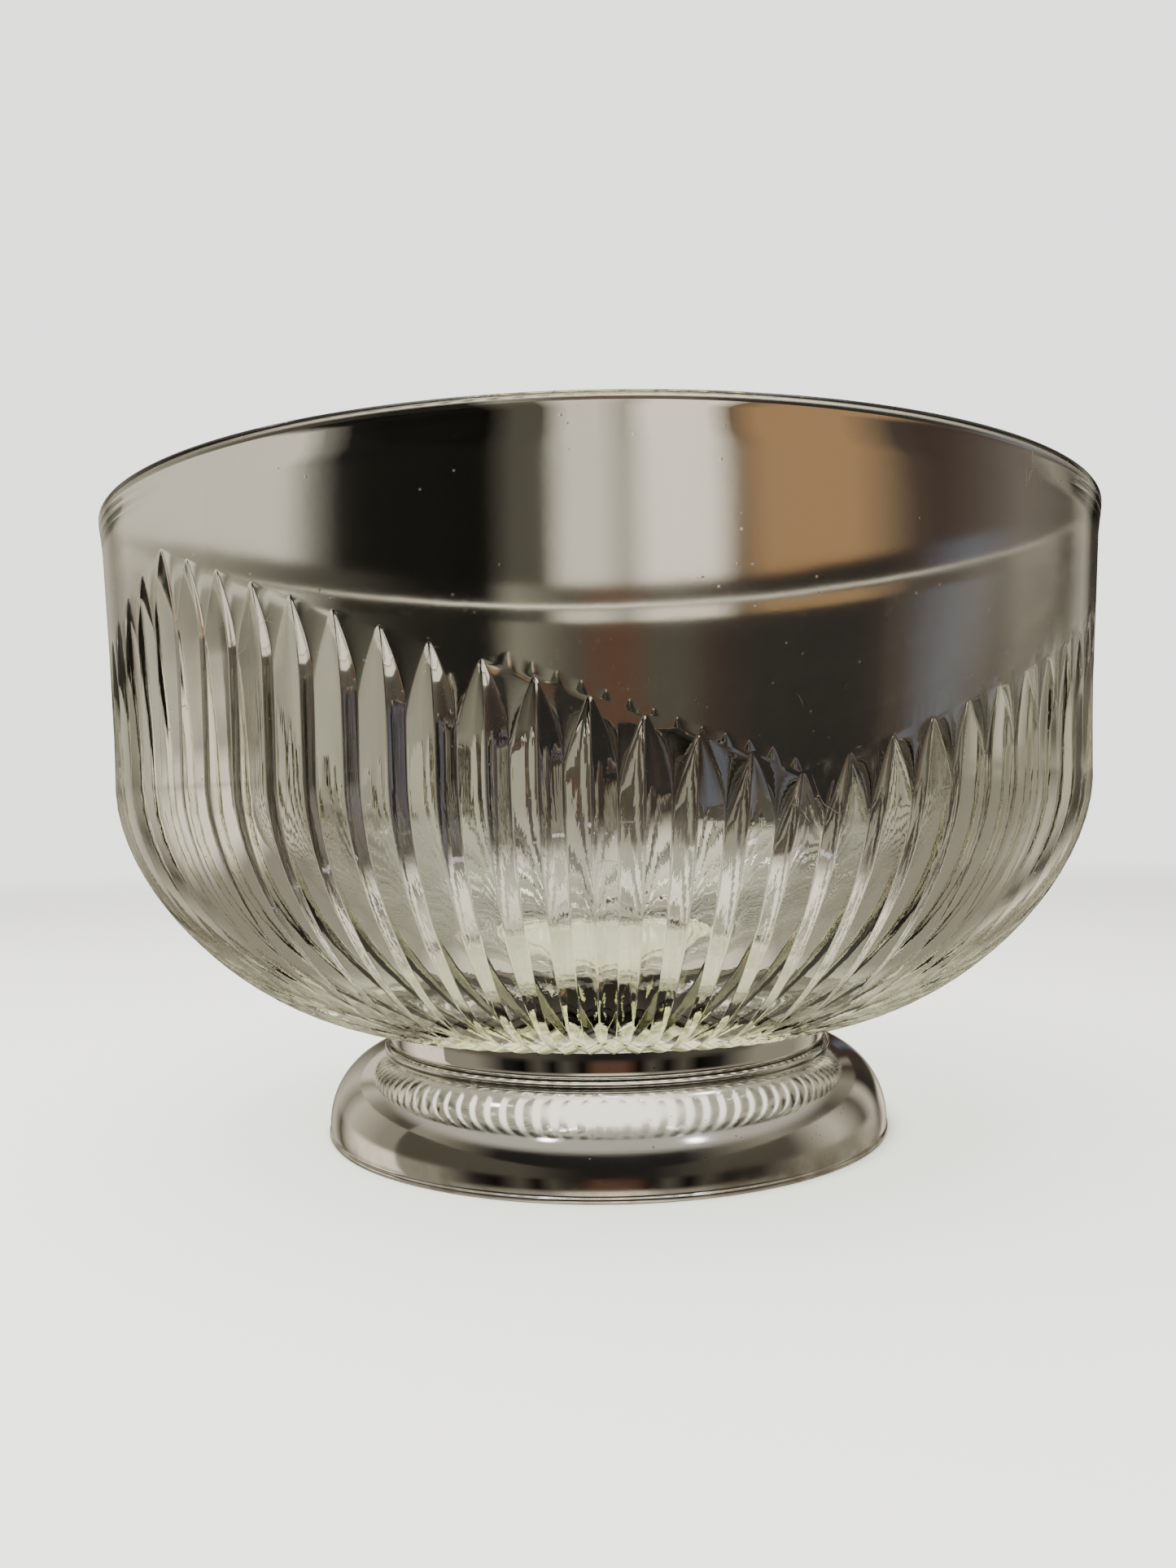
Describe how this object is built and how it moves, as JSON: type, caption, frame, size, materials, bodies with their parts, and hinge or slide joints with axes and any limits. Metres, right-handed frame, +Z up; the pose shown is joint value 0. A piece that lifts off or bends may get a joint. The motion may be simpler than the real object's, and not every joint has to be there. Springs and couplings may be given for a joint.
{
  "type": "punch bowl",
  "caption": "Footed clear glass punch bowl with pointed vertical flutes and a smooth upper band, set in the collar of a hollow polished silver-plated foot.",
  "frame": {"origin": "centre of the foot's underside, on the table", "axes": "+Z up along the bowl's axis; -Y is the front, +X to the right seen from the front"},
  "size_m": [0.24, 0.24, 0.145],
  "materials": {
    "clear_glass": "clear pressed glass, fire-polished, faint green-grey in the thick base",
    "foot_plate": "polished silver plate with fine scratches and light tarnish near the lower edge",
    "collar_plate": "polished silver plate",
    "wire_plate": "polished silver plate",
    "plaster": "matt cream plaster, cast in place"
  },
  "bodies": {
    "root": {"glass_bowl": "clear_glass", "foot_shell": "foot_plate", "collar_band": "collar_plate", "collar_wire": "wire_plate", "plaster_bed": "plaster"}
  },
  "joints": []
}
